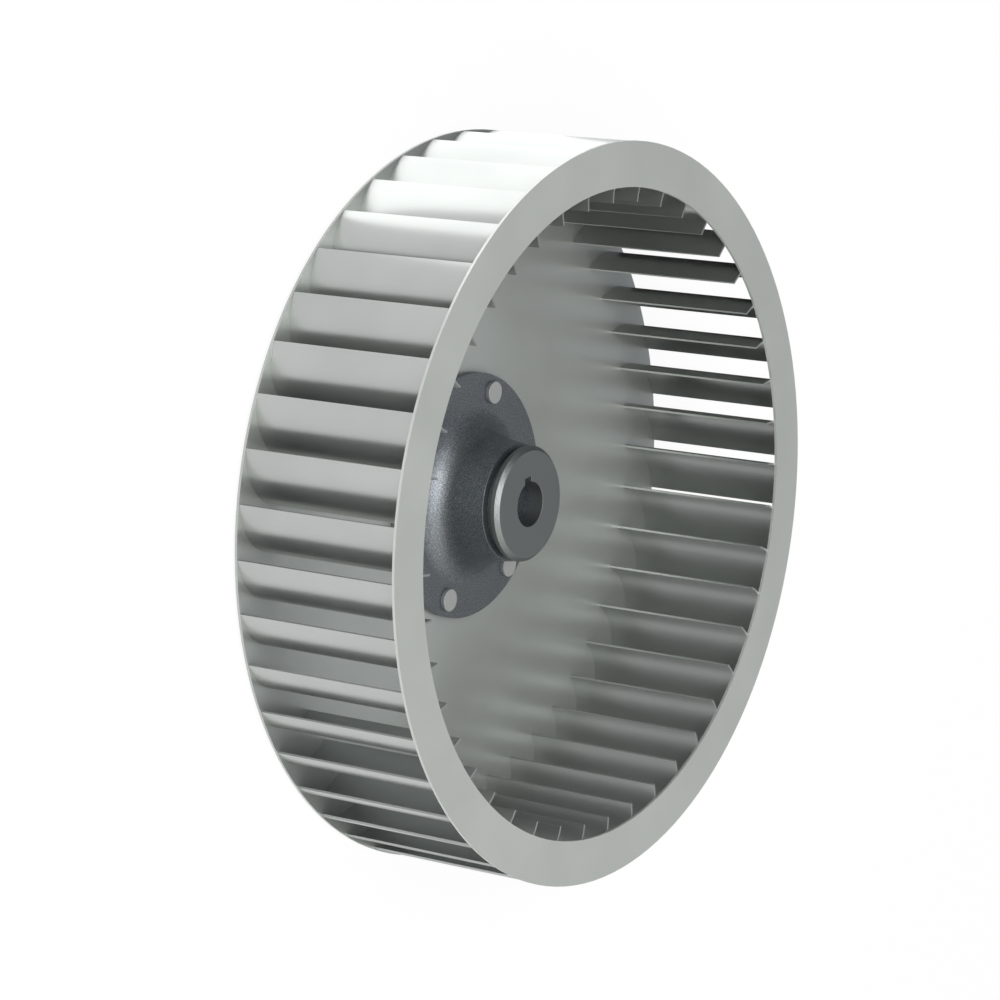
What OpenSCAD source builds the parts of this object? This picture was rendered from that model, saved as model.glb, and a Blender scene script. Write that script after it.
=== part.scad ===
// Centrifugal fan impeller: a ring of curved sheet blades between a back plate and an inlet ring,
// driven by a keyed hub that is riveted to the back plate. It stands on its rivet heads, open side up.

/* [Wheel] */
// Outer diameter of the back plate and the inlet ring
wheel_d = 410; // [380:1:450]
// Width over the sheets, from the back plate's back face to the inlet ring's front face
wheel_w = 101.5; // [80:0.5:140]

/* [Blades] */
// Number of blades
blade_count = 44; // [36:1:52]
// Radius of the blade's quarter-circle curve, at the middle of its sheet
blade_curve = 30; // [26:0.5:34]
// Sheet thickness of a blade
blade_t = 1.2; // [0.8:0.1:2]
// How far the blade's outer edge stays inside the wheel's rim
blade_setback = 0.3; // [0:0.1:3]

/* [Inlet ring] */
// Radial width of the inlet ring
ring_w = 25; // [18:0.5:28]
// Sheet thickness of the inlet ring
ring_t = 1.5; // [1:0.1:3]

/* [Back plate] */
// Sheet thickness of the back plate
plate_t = 1.5; // [1:0.1:3]

/* [Hub] */
// Length of the hub, from the back plate's back face to the end of its nose
hub_l = 47; // [42:0.5:70]
// Thickness of the hub's flange
flange_t = 4.7; // [3:0.1:7]
// Flat land on the flange between the flare's foot and the rivets' heads
flange_land = 2.3; // [0.5:0.1:6]
// From the rivet circle out to the flange's edge
flange_margin = 9.5; // [7.5:0.5:16]
// Diameter of the spigot that centres the hub in the back plate
spigot_d = 60; // [50:1:80]
// Diameter of the neck behind the groove
neck_d = 66.4; // [60:0.2:70]
// Draft of the neck, in degrees from the axis
neck_draft = 7; // [1:0.5:8]
// Radius of the flare from the flange to the neck
flare_r = 16; // [8:0.5:18]
// Diameter of the turned nose
nose_d = 65; // [56:0.5:70]
// Length of the turned nose in front of the groove
nose_l = 4.7; // [3.5:0.1:12]
// Chamfer on the nose's end
nose_chamfer = 2.3; // [0.5:0.1:3]
// Width of the groove behind the nose
groove_w = 4.6; // [2:0.1:8]
// Depth of the groove below the nose
groove_depth = 4.2; // [1:0.1:7]

/* [Bore] */
// Diameter of the shaft bore
bore_d = 25.4; // [19:0.1:30]
// Width of the keyway
key_w = 6.35; // [4:0.05:8]
// Height from the bore's far side to the keyway's floor
key_h = 28.3; // [26.5:0.1:36]

/* [Rivets] */
// Number of rivets
rivet_count = 6; // [4:1:8]
// Diameter of a rivet's shank
rivet_d = 8; // [5:0.5:9]
// Diameter of a rivet's flat head
rivet_head_d = 13; // [11:0.5:14]
// Height of a rivet's head, on both sides
rivet_head_h = 2.4; // [1:0.1:4]
// Edge chamfer of a rivet's head
rivet_edge = 0.3; // [0.1:0.1:0.6]

/* [Clearances] */
// Radial clearance of the spigot in the back plate
spigot_gap = 0.1; // [0.05:0.05:0.5]
// Radial clearance of a rivet's shank in its holes
rivet_gap = 0.1; // [0.05:0.05:0.4]

/* [Hidden] */
$fn = 96;
plate_z = rivet_head_h;
plate_top = plate_z + plate_t;
flange_top = plate_top + flange_t;
wheel_top = plate_z + wheel_w;
ring_z = wheel_top - ring_t;
nose_top = plate_z + hub_l;
groove_top = nose_top - nose_l;
groove_z = groove_top - groove_w;
wheel_r = wheel_d / 2;
blade_tip_r = wheel_r - blade_setback;
blade_root_r = sqrt(pow(blade_tip_r, 2) - pow(blade_curve, 2)) - blade_curve - blade_t / 2;
blade_pitch = 360 / blade_count;
flare_z = flange_top + flare_r;
flare_x = neck_d / 2 + (groove_z - flare_z) * tan(neck_draft) + flare_r / cos(neck_draft);
rivet_circle_r = flare_x + flange_land + rivet_head_d / 2;
flange_r = rivet_circle_r + flange_margin;
groove_r = nose_d / 2 - groove_depth;
through = 1;

function blade_name(i) = str("blade_", i < 10 ? "0" : "", i);

// A flat sheet ring
module sheet_ring(outer_r, inner_r, t, z) {
    translate([0, 0, z]) difference() {
        cylinder(r = outer_r, h = t);
        translate([0, 0, -through]) cylinder(r = inner_r, h = t + 2 * through);
    }
}

// Places its children once for each rivet
module at_rivets() {
    for (i = [0:rivet_count - 1])
        rotate([0, 0, i * 360 / rivet_count])
            translate([rivet_circle_r, 0, 0])
                children();
}

// The rivet holes through the plate and the flange
module rivet_holes() {
    at_rivets() translate([0, 0, plate_z - through])
        cylinder(d = rivet_d + 2 * rivet_gap, h = plate_t + flange_t + 2 * through);
}

// Section of a blade: a quarter circle that leaves the inner edge radially and sweeps clockwise
// to the rim
module blade_section() {
    translate([blade_root_r, -blade_curve]) intersection() {
        difference() {
            circle(r = blade_curve + blade_t / 2);
            circle(r = blade_curve - blade_t / 2);
        }
        square(blade_curve + blade_t);
    }
}

module blade(i) {
    color("silver")
        rotate([0, 0, (i - 1) * blade_pitch])
            translate([0, 0, plate_top])
                linear_extrude(height = ring_z - plate_top)
                    blade_section();
}

module back_plate() {
    color("gainsboro") difference() {
        sheet_ring(wheel_r, spigot_d / 2 + spigot_gap, plate_t, plate_z);
        rivet_holes();
    }
}

module inlet_ring() {
    color("lightgray") sheet_ring(wheel_r, wheel_r - ring_w, ring_t, ring_z);
}

// Half section of the hub, without its bore
module hub_section() {
    translate([0, plate_z]) square([spigot_d / 2, plate_t]);
    translate([0, plate_top]) square([flange_r, flange_t]);
    difference() {
        polygon([
            [0, plate_top],
            [flare_x, plate_top],
            [flare_x, flange_top],
            [flare_x - flare_r * cos(neck_draft), flare_z - flare_r * sin(neck_draft)],
            [neck_d / 2, groove_z],
            [0, groove_z]
        ]);
        translate([flare_x, flare_z]) circle(r = flare_r);
    }
    translate([0, flange_top]) square([groove_r, groove_top - flange_top]);
    polygon([
        [0, groove_top],
        [nose_d / 2, groove_top],
        [nose_d / 2, nose_top - nose_chamfer],
        [nose_d / 2 - nose_chamfer, nose_top],
        [0, nose_top]
    ]);
}

module hub() {
    color("dimgray") difference() {
        rotate_extrude() hub_section();
        translate([0, 0, plate_z - through]) cylinder(d = bore_d, h = hub_l + 2 * through);
        translate([-key_w / 2, 0, plate_z - through]) cube([key_w, key_h - bore_d / 2, hub_l + 2 * through]);
        rivet_holes();
    }
}

// A flat rivet head, standing up from its seat
module rivet_head() {
    cylinder(d = rivet_head_d, h = rivet_head_h - rivet_edge);
    translate([0, 0, rivet_head_h - rivet_edge])
        cylinder(d1 = rivet_head_d, d2 = rivet_head_d - 2 * rivet_edge, h = rivet_edge);
}

module rivets() {
    color("gainsboro") at_rivets() {
        translate([0, 0, plate_z]) cylinder(d = rivet_d, h = plate_t + flange_t);
        translate([0, 0, flange_top]) rivet_head();
        translate([0, 0, plate_z]) mirror([0, 0, 1]) rivet_head();
    }
}

for (i = [1:blade_count]) blade(i);
back_plate();
inlet_ring();
hub();
rivets();
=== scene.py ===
"""Looks of a centrifugal fan impeller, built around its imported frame.

The wheel lies on its rivet heads with its inlet eye up. The camera sees it from the side and is rolled,
so that the wheel's axis runs across the picture. Directions in the studio are given by two angles: the
heading round the wheel's axis, counted from the picture's right-hand side of the wheel, and the height
over the floor. Angles are in degrees and sizes in metres.
"""

from __future__ import annotations

import logging
import math
from dataclasses import dataclass, field
from enum import Enum
from typing import Any, Iterable, Union

import bmesh
import bpy
from mathutils import Matrix, Vector

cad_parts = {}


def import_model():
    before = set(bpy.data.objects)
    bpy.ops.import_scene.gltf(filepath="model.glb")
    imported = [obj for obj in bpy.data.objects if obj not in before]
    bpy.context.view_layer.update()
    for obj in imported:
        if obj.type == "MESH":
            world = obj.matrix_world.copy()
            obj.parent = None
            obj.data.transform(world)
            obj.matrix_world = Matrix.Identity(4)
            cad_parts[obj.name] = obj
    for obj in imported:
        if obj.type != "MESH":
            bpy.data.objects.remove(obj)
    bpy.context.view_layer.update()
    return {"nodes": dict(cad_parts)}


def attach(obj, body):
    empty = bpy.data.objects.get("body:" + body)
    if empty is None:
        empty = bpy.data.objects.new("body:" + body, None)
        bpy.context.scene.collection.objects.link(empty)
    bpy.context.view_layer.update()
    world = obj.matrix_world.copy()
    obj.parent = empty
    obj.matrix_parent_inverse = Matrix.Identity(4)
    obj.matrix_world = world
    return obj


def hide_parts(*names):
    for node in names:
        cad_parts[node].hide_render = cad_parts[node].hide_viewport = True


LOG = logging.getLogger("impeller")
BODY = "root"
RGB = tuple[float, float, float]
Span = tuple[float, float]
WHITE: RGB = (1.0, 1.0, 1.0)
CENTRE = (0.0, 0.0, 0.0)
UP = (0.0, 0.0, 1.0)
FULL_TURN = 360.0
HALF_TURN = 180.0
# From the frame's x axis to the picture's right-hand side of the wheel
PICTURE_TURN = -18.1


class Grain(Enum):
    """The direction in which a sheet was rolled, as the stretch of its grain pattern."""

    ALONG_X = (0.02, 1.0, 1.0)
    ALONG_Z = (1.0, 1.0, 0.02)


class MixSocket:
    """The numbers of the Mix node's sockets for colours, whose names are not unique."""

    SHARE = 0
    FIRST = 6
    SECOND = 7
    RESULT = 2


class Signal:
    """One number on a shader graph, which takes Python's arithmetic operators."""

    def __init__(self, graph: ShaderGraph, socket: bpy.types.NodeSocket | None) -> None:
        """Keeps the graph and the socket.

        Args:
            graph: The graph that the socket belongs to.
            socket: An output socket, or None for a node that has none.
        """
        self.graph = graph
        self.socket = socket

    def _maths(self, operation: str, *values: Value) -> Signal:
        """Adds one Math node.

        Args:
            operation: The node's operation.
            values: Its inputs in order.

        Returns:
            The node's result.
        """
        return self.graph.add("ShaderNodeMath", {"operation": operation}, dict(enumerate(values)))

    def __add__(self, other: Value) -> Signal:
        """This number plus another."""
        return self._maths("ADD", self, other)

    def __radd__(self, other: Value) -> Signal:
        """Another number plus this one."""
        return self._maths("ADD", other, self)

    def __sub__(self, other: Value) -> Signal:
        """This number less another."""
        return self._maths("SUBTRACT", self, other)

    def __rsub__(self, other: Value) -> Signal:
        """Another number less this one."""
        return self._maths("SUBTRACT", other, self)

    def __mul__(self, other: Value) -> Signal:
        """This number times another."""
        return self._maths("MULTIPLY", self, other)

    def __rmul__(self, other: Value) -> Signal:
        """Another number times this one."""
        return self._maths("MULTIPLY", other, self)

    def ramp(self, low: float, high: float) -> Signal:
        """Rises smoothly from 0 to 1.

        Args:
            low: Where the rise starts.
            high: Where it ends.

        Returns:
            The eased share.
        """
        settings = {"interpolation_type": "SMOOTHSTEP"}
        inputs = {"Value": self, "From Min": low, "From Max": high}
        return self.graph.add("ShaderNodeMapRange", settings, inputs)

    def either(self, other: Value) -> Signal:
        """The larger of this number and another."""
        return self._maths("MAXIMUM", self, other)

    def magnitude(self) -> Signal:
        """This number without its sign."""
        return self._maths("ABSOLUTE", self)


Value = Union[float, RGB, Signal]


class ShaderGraph:
    """Builds one node tree from nothing."""

    def __init__(self, tree: bpy.types.NodeTree) -> None:
        """Empties the tree.

        Args:
            tree: A material's or the world's node tree.
        """
        self.tree = tree
        tree.nodes.clear()

    def add(
        self,
        kind: str,
        settings: dict[str, Any] | None = None,
        inputs: dict[Union[str, int], Any] | None = None,
        output: Union[str, int] = 0,
    ) -> Signal:
        """Adds a node.

        Args:
            kind: The node's type.
            settings: Its own properties, which are set first.
            inputs: The values or links of its sockets, by name or number.
            output: Which output to hand back.

        Returns:
            That output.
        """
        node = self.tree.nodes.new(kind)
        for name, value in (settings or {}).items():
            setattr(node, name, value)
        for name, value in (inputs or {}).items():
            socket = node.inputs[name]
            if isinstance(value, Signal):
                self.tree.links.new(value.socket, socket)
            elif isinstance(value, tuple) and socket.type == "RGBA":
                socket.default_value = (*value, 1.0)
            else:
                socket.default_value = value
        return Signal(self, node.outputs[output] if len(node.outputs) else None)

    def blend(self, share: Value, first: Value, second: Value) -> Signal:
        """Mixes two colours.

        Args:
            share: 0 for the first colour, 1 for the second.
            first: A colour or a link.
            second: A colour or a link.

        Returns:
            The mixed colour.
        """
        inputs = {MixSocket.SHARE: share, MixSocket.FIRST: first, MixSocket.SECOND: second}
        return self.add("ShaderNodeMix", {"data_type": "RGBA"}, inputs, MixSocket.RESULT)

    def noise(self, where: Signal, scale: float, detail: float, roughness: float = 0.5) -> Signal:
        """Adds a noise pattern.

        Args:
            where: The coordinates that it reads.
            scale: Its waves per metre.
            detail: How many finer layers it has.
            roughness: How strong they are.

        Returns:
            The noise, about 0.5 on average.
        """
        inputs = {"Vector": where, "Scale": scale, "Detail": detail, "Roughness": roughness}
        return self.add("ShaderNodeTexNoise", None, inputs)

    def place(self, scale: tuple[float, float, float] = (1.0, 1.0, 1.0)) -> Signal:
        """The object coordinates, stretched.

        Args:
            scale: How much each direction is multiplied by.

        Returns:
            The coordinates.
        """
        where = self.add("ShaderNodeTexCoord", None, None, "Object")
        return self.add("ShaderNodeMapping", None, {"Vector": where, "Scale": scale})

    def along(self, vector: Signal, direction: Iterable[float]) -> Signal:
        """How far a vector points in a direction.

        Args:
            vector: A vector link.
            direction: The direction.

        Returns:
            Their dot product.
        """
        settings = {"operation": "DOT_PRODUCT"}
        return self.add("ShaderNodeVectorMath", settings, {0: vector, 1: tuple(direction)}, "Value")

    def heading(self, vector: Signal, start: float) -> Signal:
        """The heading of a vector round the wheel's axis.

        Args:
            vector: A vector link.
            start: The studio heading that counts as 0.

        Returns:
            Degrees from the start, 0 to 360.
        """
        turn = (0.0, 0.0, math.radians(HALF_TURN - PICTURE_TURN - start))
        turned = self.add("ShaderNodeMapping", None, {"Vector": vector, "Rotation": turn})
        settings = {"gradient_type": "RADIAL"}
        return self.add("ShaderNodeTexGradient", settings, {"Vector": turned}, "Fac") * FULL_TURN

    def openness(self, reach: float, samples: int = 4) -> Signal:
        """How open the surface lies, which is little in corners.

        Args:
            reach: How far off other surfaces count.
            samples: How many rays feel for them.

        Returns:
            0 in a closed corner, 1 in the open.
        """
        return self.add("ShaderNodeAmbientOcclusion", {"samples": samples}, {"Distance": reach}, "AO")

    def bump(self, height: Value, strength: float, distance: float) -> Signal:
        """Turns a height into a normal.

        Args:
            height: The height pattern.
            strength: How strong it is.
            distance: How high one unit stands.

        Returns:
            The normal.
        """
        inputs = {"Height": height, "Strength": strength, "Distance": distance}
        return self.add("ShaderNodeBump", None, inputs)

    def glow(self, strength: Value) -> Signal:
        """A white glow, which is white in the picture at a strength of 1."""
        return self.add("ShaderNodeEmission", None, {"Color": WHITE, "Strength": strength})

    def surface(self, shader: Signal) -> None:
        """Makes a shader the material's surface."""
        self.add("ShaderNodeOutputMaterial", None, {"Surface": shader})

    def metal_surface(self, colour: Value, metal: float, roughness: Value, normal: Signal) -> None:
        """Makes the material a metal.

        Args:
            colour: Its base colour.
            metal: How metallic it is, 0 to 1.
            roughness: How matt it is, 0 to 1.
            normal: The normal from its bumps.
        """
        inputs = {"Base Color": colour, "Metallic": metal, "Roughness": roughness, "Normal": normal}
        self.surface(self.add("ShaderNodeBsdfPrincipled", None, inputs))


def new_material(name: str) -> tuple[bpy.types.Material, ShaderGraph]:
    """Makes an empty node material.

    Args:
        name: Its name.

    Returns:
        The material and its graph.
    """
    material = bpy.data.materials.new(name)
    material.use_nodes = True
    return material, ShaderGraph(material.node_tree)


def darker(colour: RGB, share: float) -> RGB:
    """A colour with a share of its light taken away."""
    return tuple(part * (1.0 - share) for part in colour)


@dataclass(frozen=True)
class SheetFinish:
    """Smooth rolled steel sheet with a satin gloss, faint clouds and, on some, painted shade darkening the
    corners.
    """

    name: str
    tint: RGB
    metal: float
    roughness: float
    grain: Grain
    cloud: float = 0.08
    cloud_scale: float = 14.0
    cloud_detail: float = 3.0
    cloud_span: Span = (0.3, 0.7)
    cloud_roughness: float = 0.14
    grain_scale: float = 900.0
    grain_detail: float = 2.0
    grain_roughness: float = 0.06
    grain_strength: float = 0.5
    grain_depth: float = 0.0000012
    least_roughness: float = 0.9
    # How strongly painted shade darkens the corners, how far off other surfaces count, and over which
    # openness it fades.
    painted_shade: float = 0.0
    painted_shade_reach: float = 0.06
    painted_shade_span: Span = (0.1, 0.95)

    def build(self) -> bpy.types.Material:
        """Builds the material.

        Returns:
            The material.
        """
        material, graph = new_material(self.name)
        clouds = graph.noise(graph.place(), self.cloud_scale, self.cloud_detail)
        lines = graph.noise(graph.place(self.grain.value), self.grain_scale, self.grain_detail)
        colour = graph.blend(clouds.ramp(*self.cloud_span), darker(self.tint, self.cloud), self.tint)
        # Painted shade: the base colour is darkened where ambient occlusion finds the surface closed in, in
        # the corners.
        if self.painted_shade:
            unshaded = graph.openness(self.painted_shade_reach).ramp(*self.painted_shade_span)
            colour = graph.blend(unshaded, darker(self.tint, self.painted_shade), colour)
        unevenness = self.least_roughness + self.cloud_roughness * clouds + self.grain_roughness * lines
        normal = graph.bump(lines, self.grain_strength, self.grain_depth)
        graph.metal_surface(colour, self.metal, self.roughness * unevenness, normal)
        return material


@dataclass(frozen=True)
class CastFinish:
    """Dark cast metal with a fine grain, turned even at the nose."""

    name: str
    tint: RGB
    light_grain: RGB
    turned: RGB
    turned_from: float
    metal: float
    roughness: float
    turned_edge: float = 0.0004
    grain_scale: float = 1500.0
    grain_detail: float = 3.0
    grain_layers: float = 0.6
    grain_span: Span = (0.4, 0.7)
    grain_roughness: float = 0.12
    grain_strength: float = 0.6
    grain_depth: float = 0.00036

    def build(self) -> bpy.types.Material:
        """Builds the material.

        Returns:
            The material.
        """
        material, graph = new_material(self.name)
        where = graph.place()
        grain = graph.noise(where, self.grain_scale, self.grain_detail, self.grain_layers)
        cast = graph.blend(grain.ramp(*self.grain_span), self.tint, self.light_grain)
        nose = graph.along(where, UP).ramp(self.turned_from, self.turned_from + self.turned_edge)
        colour = graph.blend(nose, cast, self.turned)
        roughness = self.roughness + self.grain_roughness * (grain - 0.5)
        normal = graph.bump(grain, self.grain_strength, self.grain_depth)
        graph.metal_surface(colour, self.metal, roughness, normal)
        return material


@dataclass(frozen=True)
class RivetFinish:
    """A rivet head with a bright flat face and a dark side."""

    name: str
    face: RGB
    side: RGB
    metal: float
    roughness: float
    face_span: Span = (0.75, 0.9)
    grain_scale: float = 1500.0
    grain_detail: float = 3.0
    grain_layers: float = 0.6
    grain_roughness: float = 0.1
    grain_strength: float = 0.3
    grain_depth: float = 0.00001

    def build(self) -> bpy.types.Material:
        """Builds the material.

        Returns:
            The material.
        """
        material, graph = new_material(self.name)
        facing = graph.along(graph.add("ShaderNodeNewGeometry", None, None, "Normal"), UP)
        flat = facing.magnitude().ramp(*self.face_span)
        grain = graph.noise(graph.place(), self.grain_scale, self.grain_detail, self.grain_layers)
        colour = graph.blend(flat, self.side, self.face)
        roughness = self.roughness + self.grain_roughness * (grain - 0.5)
        normal = graph.bump(grain, self.grain_strength, self.grain_depth)
        graph.metal_surface(colour, self.metal, roughness, normal)
        return material


def dress(piece: bpy.types.Object, material: bpy.types.Material) -> None:
    """Gives a piece its material in every slot.

    Args:
        piece: A frame node's object or a new piece.
        material: The material.
    """
    if not piece.material_slots:
        piece.data.materials.append(material)
    for slot in piece.material_slots:
        slot.material = material


def add_object(name: str, shape: bmesh.types.BMesh) -> bpy.types.Object:
    """Puts a finished shape in the scene.

    Args:
        name: The object's name.
        shape: The shape, which is freed.

    Returns:
        The object.
    """
    mesh = bpy.data.meshes.new(name)
    shape.to_mesh(mesh)
    shape.free()
    added = bpy.data.objects.new(name, mesh)
    bpy.context.scene.collection.objects.link(added)
    return added


@dataclass
class RoundedCopy:
    """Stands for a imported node, with its sharp edges rounded as a casting's or a pressing's are."""

    node: bpy.types.Object
    name: str
    radius: float
    segments: int = 3
    weld: float = 0.00001
    flat_angle: float = math.radians(0.5)
    sharp_angle: float = math.radians(28.0)

    def build(self, slot: str) -> bpy.types.Object:
        """Builds the piece from a welded copy of the node's mesh.

        Args:
            slot: Not used.

        Returns:
            The piece, which replaces the node.
        """
        shape = bmesh.new()
        shape.from_mesh(self.node.data)
        bmesh.ops.remove_doubles(shape, verts=shape.verts, dist=self.weld)
        bmesh.ops.dissolve_limit(
            shape, angle_limit=self.flat_angle, verts=shape.verts, edges=shape.edges, delimit={"NORMAL"}
        )
        sharp = [edge for edge in shape.edges if edge.calc_face_angle(0.0) > self.sharp_angle]
        bmesh.ops.bevel(
            shape,
            geom=sharp,
            offset=self.radius,
            offset_type="OFFSET",
            segments=self.segments,
            profile=0.5,
            affect="EDGES",
            material=-1,
            clamp_overlap=True,
        )
        for face in shape.faces:
            face.smooth = True
        piece = add_object(self.name, shape)
        normals = piece.modifiers.new("even_normals", "WEIGHTED_NORMAL")
        normals.keep_sharp = True
        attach(piece, BODY)
        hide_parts(self.node.name)
        return piece


@dataclass
class BladeRing:
    """The ring of curved blades between the two sheets."""

    nodes: dict[str, bpy.types.Object]
    finish: SheetFinish = SheetFinish(
        name="blade_sheet",
        tint=(0.48, 0.497, 0.488),
        metal=0.9,
        roughness=0.32,
        grain=Grain.ALONG_Z,
    )

    def build(self) -> list[bpy.types.Object]:
        """Dresses each blade.

        Returns:
            The blades.
        """
        material = self.finish.build()
        blades = [node for name, node in sorted(self.nodes.items()) if name.startswith("blade_")]
        for blade in blades:
            dress(blade, material)
        return blades


@dataclass
class SidePlates:
    """The back plate and the inlet ring."""

    nodes: dict[str, bpy.types.Object]
    plate_finish: SheetFinish = SheetFinish(
        name="plate_sheet",
        tint=(0.57, 0.595, 0.575),
        metal=0.75,
        roughness=0.3,
        grain=Grain.ALONG_X,
        # Painted shade darkens the plate in its corners at the blade roots.
        painted_shade=0.33,
    )
    ring_finish: SheetFinish = SheetFinish(
        name="ring_sheet",
        tint=(0.54, 0.56, 0.54),
        metal=0.6,
        roughness=0.42,
        grain=Grain.ALONG_X,
    )

    def build(self) -> list[bpy.types.Object]:
        """Dresses the two sheets.

        Returns:
            Both pieces.
        """
        plate, ring = self.nodes["back_plate"], self.nodes["inlet_ring"]
        dress(plate, self.plate_finish.build())
        dress(ring, self.ring_finish.build())
        return [plate, ring]


@dataclass
class HubAssembly:
    """The hub and the rivets that hold it."""

    nodes: dict[str, bpy.types.Object]
    casting_edge: float = 0.0002
    rivet_edge: float = 0.0004
    hub_finish: CastFinish = CastFinish(
        name="hub_casting",
        tint=(0.145, 0.162, 0.179),
        light_grain=(0.33, 0.348, 0.366),
        turned=(0.222, 0.24, 0.238),
        turned_from=0.0402,
        metal=0.9,
        roughness=0.39,
    )
    rivet_finish: RivetFinish = RivetFinish(
        name="rivet_head",
        face=(0.4, 0.415, 0.405),
        side=(0.26, 0.27, 0.285),
        metal=0.5,
        roughness=0.5,
    )

    def build(self) -> list[bpy.types.Object]:
        """Rounds and dresses the hub and its rivets.

        Returns:
            Both pieces.
        """
        hub = RoundedCopy(self.nodes["hub"], "hub_rounded", self.casting_edge).build("cast_hub")
        rivets = RoundedCopy(self.nodes["rivets"], "rivets_rounded", self.rivet_edge).build("rivet_steel")
        dress(hub, self.hub_finish.build())
        dress(rivets, self.rivet_finish.build())
        return [hub, rivets]


def direction(turn: float, rise: float) -> Vector:
    """A direction in the frame.

    Args:
        turn: Degrees from the frame's x axis round its z axis.
        rise: Degrees over the floor.

    Returns:
        The unit vector.
    """
    turn, rise = math.radians(turn), math.radians(rise)
    return Vector((math.cos(turn) * math.cos(rise), math.sin(turn) * math.cos(rise), math.sin(rise)))


def studio_direction(heading: float, height: float = 0.0) -> Vector:
    """A direction in the studio.

    Args:
        heading: Degrees round the wheel's axis, from the picture's right-hand side of the wheel.
        height: Degrees over the floor.

    Returns:
        The unit vector.
    """
    return direction(heading + PICTURE_TURN, height)


@dataclass(frozen=True)
class Lamp:
    """A soft lamp that points at the wheel."""

    name: str
    heading: float
    height: float
    distance: float
    width: float
    depth: float
    power: float

    def build(self, target: Vector) -> bpy.types.Object:
        """Adds the lamp.

        Args:
            target: Where it points.

        Returns:
            The lamp.
        """
        data = bpy.data.lights.new(self.name, "AREA")
        data.shape = "RECTANGLE"
        data.size = self.width
        data.size_y = self.depth
        data.energy = self.power
        lamp = bpy.data.objects.new(self.name, data)
        away = studio_direction(self.heading, self.height)
        lamp.location = target + away * self.distance
        lamp.rotation_euler = away.to_track_quat("Z", "Y").to_euler()
        lamp.visible_camera = False
        bpy.context.scene.collection.objects.link(lamp)
        return lamp


@dataclass(frozen=True)
class FloorCard:
    """A card on the floor, which glows evenly or fades to black. Only the metal's gloss sees it."""

    name: str
    start: float
    turn: float
    inner: float
    outer: float
    level: float
    fade: Span | None = None
    lift: float = 0.001
    steps: int = 48

    def build(self) -> bpy.types.Object:
        """Spins the card's first edge round the wheel's axis and gives it its tone.

        Returns:
            The card.
        """
        shape = bmesh.new()
        inner = shape.verts.new(studio_direction(self.start) * self.inner)
        outer = shape.verts.new(studio_direction(self.start) * self.outer)
        edge = shape.edges.new((inner, outer))
        bmesh.ops.spin(
            shape,
            geom=[inner, outer, edge],
            cent=CENTRE,
            axis=UP,
            angle=math.radians(self.turn),
            steps=self.steps,
            use_merge=False,
        )
        bmesh.ops.recalc_face_normals(shape, faces=shape.faces)
        card = add_object(self.name, shape)
        card.location.z = self.lift
        card.data.materials.append(self._tone())
        card.visible_camera = False
        card.visible_diffuse = False
        card.visible_shadow = False
        card.visible_transmission = False
        return card

    def _tone(self) -> bpy.types.Material:
        """Builds the card's material.

        Returns:
            The material.
        """
        material, graph = new_material(self.name)
        level = self.level
        if self.fade:
            where = graph.add("ShaderNodeTexCoord", None, None, "Object")
            level = level * (1.0 - graph.heading(where, self.start).ramp(*self.fade))
        graph.surface(graph.glow(level))
        return material


@dataclass(frozen=True)
class PaperStage:
    """The pale floor, and the same paper round its rim, where low views see it behind the wheel."""

    radius: float = 12.0
    wall: float = 3.0
    segments: int = 96
    white: RGB = (0.86, 0.86, 0.86)
    glow: float = 0.93

    def build(self) -> list[bpy.types.Object]:
        """Lays the floor and stands up the backdrop.

        Returns:
            Both objects.
        """
        paper = self._paper()
        return [self._floor(paper), self._backdrop(paper)]

    def _paper(self) -> bpy.types.Material:
        """Builds the paper, which is near white for the camera, in the metal and through glass.

        Returns:
            The material.
        """
        material, graph = new_material("floor_paper")
        rays = [
            graph.add("ShaderNodeLightPath", None, None, name)
            for name in ("Is Camera Ray", "Is Glossy Ray", "Is Transmission Ray")
        ]
        seen = rays[0].either(rays[1]).either(rays[2])
        paper = graph.add("ShaderNodeBsdfDiffuse", None, {"Color": self.white})
        inputs = {0: seen * self.glow, 1: paper, 2: graph.glow(1.0)}
        graph.surface(graph.add("ShaderNodeMixShader", None, inputs))
        return material

    def _floor(self, paper: bpy.types.Material) -> bpy.types.Object:
        """Lays the floor under the wheel.

        Args:
            paper: Its material.

        Returns:
            The floor.
        """
        shape = bmesh.new()
        bmesh.ops.create_circle(shape, cap_ends=True, segments=self.segments, radius=self.radius)
        floor = add_object("floor", shape)
        floor.data.materials.append(paper)
        return floor

    def _backdrop(self, paper: bpy.types.Material) -> bpy.types.Object:
        """Raises a wall from the floor's rim, which casts no shadow and no soft light on the wheel.

        Args:
            paper: Its material.

        Returns:
            The backdrop.
        """
        shape = bmesh.new()
        ring = bmesh.ops.create_circle(shape, cap_ends=False, segments=self.segments, radius=self.radius)
        edges = list({edge for vert in ring["verts"] for edge in vert.link_edges})
        raised = bmesh.ops.extrude_edge_only(shape, edges=edges)["geom"]
        top = [part for part in raised if isinstance(part, bmesh.types.BMVert)]
        bmesh.ops.translate(shape, verts=top, vec=(0.0, 0.0, self.wall))
        backdrop = add_object("backdrop", shape)
        backdrop.data.materials.append(paper)
        backdrop.visible_diffuse = False
        backdrop.visible_shadow = False
        return backdrop


@dataclass(frozen=True)
class SkyBand:
    """One band of the sky, which darkens evenly towards the studio's shaded side."""

    mean: float
    swing: float
    least: float = 0.02

    def light(self, side: Signal) -> Signal:
        """How much light the band gives.

        Args:
            side: 1 on the shaded side, -1 opposite it.

        Returns:
            The band's light there.
        """
        return (self.mean - self.swing * side).either(self.least)


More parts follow.
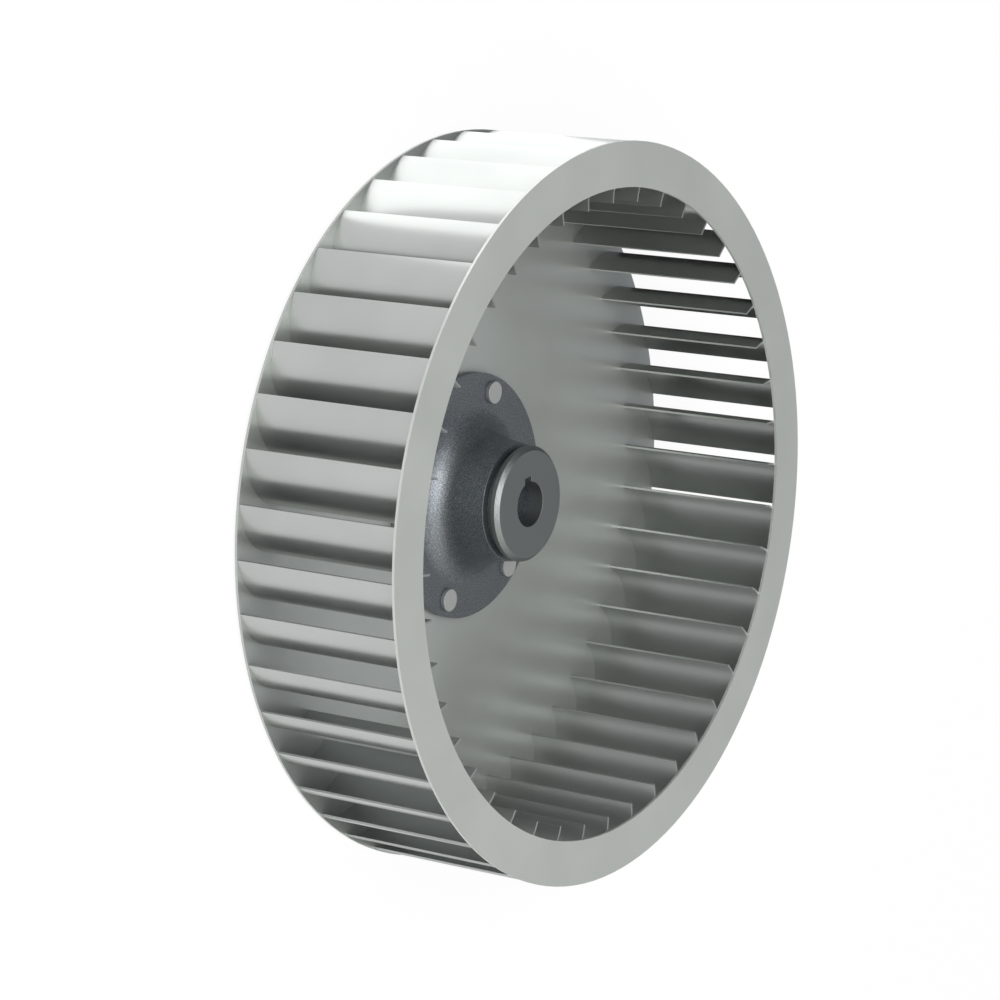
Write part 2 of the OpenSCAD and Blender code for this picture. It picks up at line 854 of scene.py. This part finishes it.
@dataclass(frozen=True)
class Sky:
    """The soft light from all round, cooler where it is weak."""

    low: SkyBand = SkyBand(mean=0.64, swing=0.7)
    top: SkyBand = SkyBand(mean=0.9, swing=0.98)
    top_span: Span = (0.3, 0.7)
    shaded_side: float = 50.0
    cool: RGB = (0.93, 1.0, 1.1)
    warm: RGB = (1.0, 1.0, 0.97)
    warm_span: Span = (0.1, 0.8)

    def build(self) -> bpy.types.World:
        """Builds the world.

        Returns:
            The world.
        """
        world = bpy.data.worlds.new("studio")
        world.use_nodes = True
        bpy.context.scene.world = world
        graph = ShaderGraph(world.node_tree)
        where = graph.add("ShaderNodeTexCoord", None, None, "Generated")
        side = graph.along(where, studio_direction(self.shaded_side))
        rise = graph.along(where, UP)
        low = self.low.light(side)
        level = low + rise.ramp(*self.top_span) * (self.top.light(side) - low)
        colour = graph.blend(level.ramp(*self.warm_span), self.cool, self.warm)
        light = graph.add("ShaderNodeBackground", None, {"Color": colour, "Strength": level})
        graph.add("ShaderNodeOutputWorld", None, {"Surface": light})
        return world


@dataclass(frozen=True)
class Camera:
    """The camera, at the photograph's viewing angle."""

    turn: float = 157.44
    rise: float = 33.23
    distance: float = 1.9943
    roll: float = 98.10
    lens: float = 128.43
    sensor: float = 36.0

    def build(self, target: Vector) -> bpy.types.Object:
        """Sets up the camera.

        Args:
            target: Where it points.

        Returns:
            The camera.
        """
        data = bpy.data.cameras.new("camera")
        data.lens = self.lens
        data.sensor_width = self.sensor
        camera = bpy.data.objects.new("camera", data)
        away = direction(self.turn, self.rise)
        place = Matrix.Translation(target + away * self.distance)
        view = away.to_track_quat("Z", "Y").to_matrix().to_4x4()
        camera.matrix_world = place @ view @ Matrix.Rotation(math.radians(self.roll), 4, "Z")
        bpy.context.scene.collection.objects.link(camera)
        bpy.context.scene.camera = camera
        return camera


@dataclass
class Studio:
    """The stage, the light and the camera round the wheel."""

    aim: Vector = field(default_factory=lambda: Vector((0.0, 0.0, 0.0291)))
    stage: PaperStage = PaperStage()
    cards: tuple[FloorCard, ...] = (
        FloorCard(
            name="dark_card", start=265.0, turn=157.0, inner=0.08, outer=0.9, level=0.65, fade=(94.0, 101.0)
        ),
        FloorCard(name="light_panel", start=75.0, turn=58.0, inner=0.21, outer=0.9, level=2.2),
    )
    sky: Sky = Sky()
    lamps: tuple[Lamp, ...] = (
        Lamp(
            name="front_key", heading=161.0, height=57.0, distance=2.2, width=1.3, depth=0.9, power=26.0
        ),
    )
    camera: Camera = Camera()

    def build(self) -> None:
        """Builds the whole studio."""
        self.stage.build()
        for card in self.cards:
            card.build()
        self.sky.build()
        for lamp in self.lamps:
            lamp.build(self.aim)
        self.camera.build(self.aim)
        bpy.context.scene.view_settings.view_transform = "Standard"


def main() -> None:
    """Builds the looks round the frame."""
    logging.basicConfig(level=logging.INFO, format="%(name)s: %(message)s")
    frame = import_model()
    nodes = frame["nodes"]
    Studio().build()
    for assembly in (BladeRing(nodes), SidePlates(nodes), HubAssembly(nodes)):
        for piece in assembly.build():
            LOG.info("dressed %s", piece.name)


if __name__ == "__main__":
    main()
